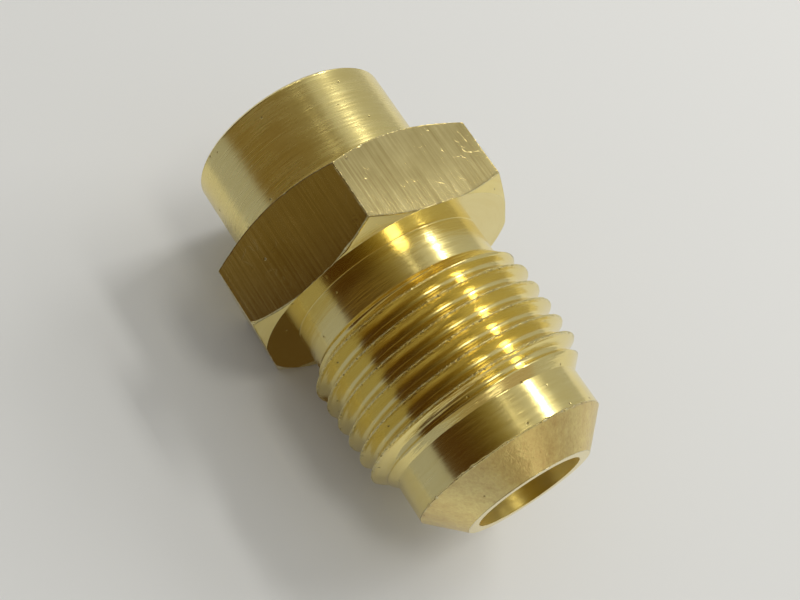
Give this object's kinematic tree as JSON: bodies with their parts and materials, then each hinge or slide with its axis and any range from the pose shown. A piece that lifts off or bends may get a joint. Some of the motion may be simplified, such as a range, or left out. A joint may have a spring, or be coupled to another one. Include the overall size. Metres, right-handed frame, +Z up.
{
  "type": "flare fitting",
  "caption": "Straight brass fitting with a hexagon: male 45 degree flare thread and coned nose on one end, plain round solder cup on the other, bored through.",
  "frame": {"origin": "centre of the solder cup's mouth, on the bore's axis", "axes": "+X along the bore from the solder cup to the flare nose, +Z up and square to a flat of the hexagon, +Y through a corner of the hexagon"},
  "size_m": [0.0353, 0.0254, 0.022],
  "materials": {
    "body": "turned brass, satin"
  },
  "bodies": {
    "root": {"fitting_body": "body"}
  },
  "joints": []
}
